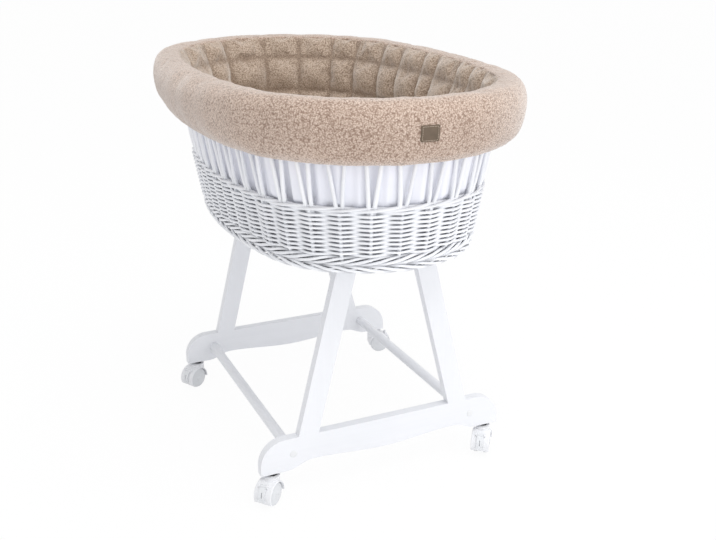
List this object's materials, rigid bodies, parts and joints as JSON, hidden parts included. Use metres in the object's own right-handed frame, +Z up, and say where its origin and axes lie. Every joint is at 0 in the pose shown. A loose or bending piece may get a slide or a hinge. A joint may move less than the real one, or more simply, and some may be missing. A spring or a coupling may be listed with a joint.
{
  "type": "moses basket on a wheeled stand",
  "caption": "Oval wicker moses basket with a teddy-fleece bumper and quilted lining, on a white wooden trestle stand with braked twin-wheel casters.",
  "frame": {"origin": "on the floor under the middle of the basket", "axes": "+Z up, +Y along the basket towards its head end, +X along the foot rails"},
  "size_m": [0.6132, 0.9092, 0.7762],
  "materials": {
    "white_paint": "satin white paint on wood",
    "white_plastic": "moulded",
    "zinc_steel": "bright",
    "dark_steel": "dark",
    "beech": "bare",
    "white_wicker": "painted willow",
    "white_cotton": "plain woven",
    "boucle": "teddy pile",
    "mattress_cover": "plain woven"
  },
  "bodies": {
    "stand": {"front_rail": "white_paint", "rear_rail": "white_paint", "front_left_leg": "white_paint", "front_right_leg": "white_paint", "rear_left_leg": "white_paint", "rear_right_leg": "white_paint", "front_bearer": "white_paint", "rear_bearer": "white_paint", "left_stretcher": "white_paint", "right_stretcher": "white_paint", "stretcher_screws": "zinc_steel", "screw_caps": "white_plastic", "leg_dowels": "beech", "caster_sockets": "dark_steel", "caster_stems": "dark_steel"},
    "basket": {"base_board": "white_paint", "foot_border": "white_wicker", "lower_wale": "white_wicker", "side_weave": "white_wicker", "upper_wale": "white_wicker", "stakes": "white_wicker", "upper_rods": "white_wicker", "rim": "white_wicker", "lining": "white_cotton", "quilted_pad": "boucle", "bumper": "boucle", "mattress": "mattress_cover"},
    "front_left_caster": {"front_left_hood": "white_plastic", "front_left_axle": "zinc_steel"},
    "front_left_inner_roller": {"front_left_inner_wheel": "white_plastic"},
    "front_left_outer_roller": {"front_left_outer_wheel": "white_plastic"},
    "front_left_brake": {"front_left_pedal": "white_plastic"},
    "front_right_caster": {"front_right_hood": "white_plastic", "front_right_axle": "zinc_steel"},
    "front_right_inner_roller": {"front_right_inner_wheel": "white_plastic"},
    "front_right_outer_roller": {"front_right_outer_wheel": "white_plastic"},
    "front_right_brake": {"front_right_pedal": "white_plastic"},
    "rear_left_caster": {"rear_left_hood": "white_plastic", "rear_left_axle": "zinc_steel"},
    "rear_left_inner_roller": {"rear_left_inner_wheel": "white_plastic"},
    "rear_left_outer_roller": {"rear_left_outer_wheel": "white_plastic"},
    "rear_left_brake": {"rear_left_pedal": "white_plastic"},
    "rear_right_caster": {"rear_right_hood": "white_plastic", "rear_right_axle": "zinc_steel"},
    "rear_right_inner_roller": {"rear_right_inner_wheel": "white_plastic"},
    "rear_right_outer_roller": {"rear_right_outer_wheel": "white_plastic"},
    "rear_right_brake": {"rear_right_pedal": "white_plastic"}
  },
  "joints": [
    {"name": "basket_lift", "type": "slide", "parent": "stand", "child": "basket", "axis": [0, 0, 1], "range_m": [0, 0.4]},
    {"name": "front_left_swivel", "type": "hinge", "parent": "stand", "child": "front_left_caster", "pos_m": [-0.225, -0.2635, 0.042], "axis": [0, 0, 1], "continuous": true},
    {"name": "front_left_inner_roll", "type": "hinge", "parent": "front_left_caster", "child": "front_left_inner_roller", "pos_m": [-0.23649, -0.27314, 0.0225], "axis": [0.6428, -0.766, 0], "continuous": true},
    {"name": "front_left_outer_roll", "type": "hinge", "parent": "front_left_caster", "child": "front_left_outer_roller", "pos_m": [-0.23649, -0.27314, 0.0225], "axis": [0.6428, -0.766, 0], "continuous": true},
    {"name": "front_left_brake_lift", "type": "hinge", "parent": "front_left_caster", "child": "front_left_brake", "pos_m": [-0.25006, -0.28453, 0.04518], "axis": [-0.6428, 0.766, 0], "range_deg": [0, 25]},
    {"name": "front_right_swivel", "type": "hinge", "parent": "stand", "child": "front_right_caster", "pos_m": [0.225, -0.2635, 0.042], "axis": [0, 0, 1], "continuous": true},
    {"name": "front_right_inner_roll", "type": "hinge", "parent": "front_right_caster", "child": "front_right_inner_roller", "pos_m": [0.21536, -0.27499, 0.0225], "axis": [0.766, -0.6428, 0], "continuous": true},
    {"name": "front_right_outer_roll", "type": "hinge", "parent": "front_right_caster", "child": "front_right_outer_roller", "pos_m": [0.21536, -0.27499, 0.0225], "axis": [0.766, -0.6428, 0], "continuous": true},
    {"name": "front_right_brake_lift", "type": "hinge", "parent": "front_right_caster", "child": "front_right_brake", "pos_m": [0.20397, -0.28856, 0.04518], "axis": [-0.766, 0.6428, 0], "range_deg": [0, 25]},
    {"name": "rear_left_swivel", "type": "hinge", "parent": "stand", "child": "rear_left_caster", "pos_m": [-0.225, 0.2635, 0.042], "axis": [0, 0, 1], "continuous": true},
    {"name": "rear_left_inner_roll", "type": "hinge", "parent": "rear_left_caster", "child": "rear_left_inner_roller", "pos_m": [-0.23799, 0.256, 0.0225], "axis": [0.5, -0.866, 0], "continuous": true},
    {"name": "rear_left_outer_roll", "type": "hinge", "parent": "rear_left_caster", "child": "rear_left_outer_roller", "pos_m": [-0.23799, 0.256, 0.0225], "axis": [0.5, -0.866, 0], "continuous": true},
    {"name": "rear_left_brake_lift", "type": "hinge", "parent": "rear_left_caster", "child": "rear_left_brake", "pos_m": [-0.25333, 0.24714, 0.04518], "axis": [-0.5, 0.866, 0], "range_deg": [0, 25]},
    {"name": "rear_right_swivel", "type": "hinge", "parent": "stand", "child": "rear_right_caster", "pos_m": [0.225, 0.2635, 0.042], "axis": [0, 0, 1], "continuous": true},
    {"name": "rear_right_inner_roll", "type": "hinge", "parent": "rear_right_caster", "child": "rear_right_inner_roller", "pos_m": [0.23949, 0.25962, 0.0225], "axis": [0.2588, 0.9659, 0], "continuous": true},
    {"name": "rear_right_outer_roll", "type": "hinge", "parent": "rear_right_caster", "child": "rear_right_outer_roller", "pos_m": [0.23949, 0.25962, 0.0225], "axis": [0.2588, 0.9659, 0], "continuous": true},
    {"name": "rear_right_brake_lift", "type": "hinge", "parent": "rear_right_caster", "child": "rear_right_brake", "pos_m": [0.2566, 0.25503, 0.04518], "axis": [-0.2588, -0.9659, 0], "range_deg": [0, 25]}
  ]
}
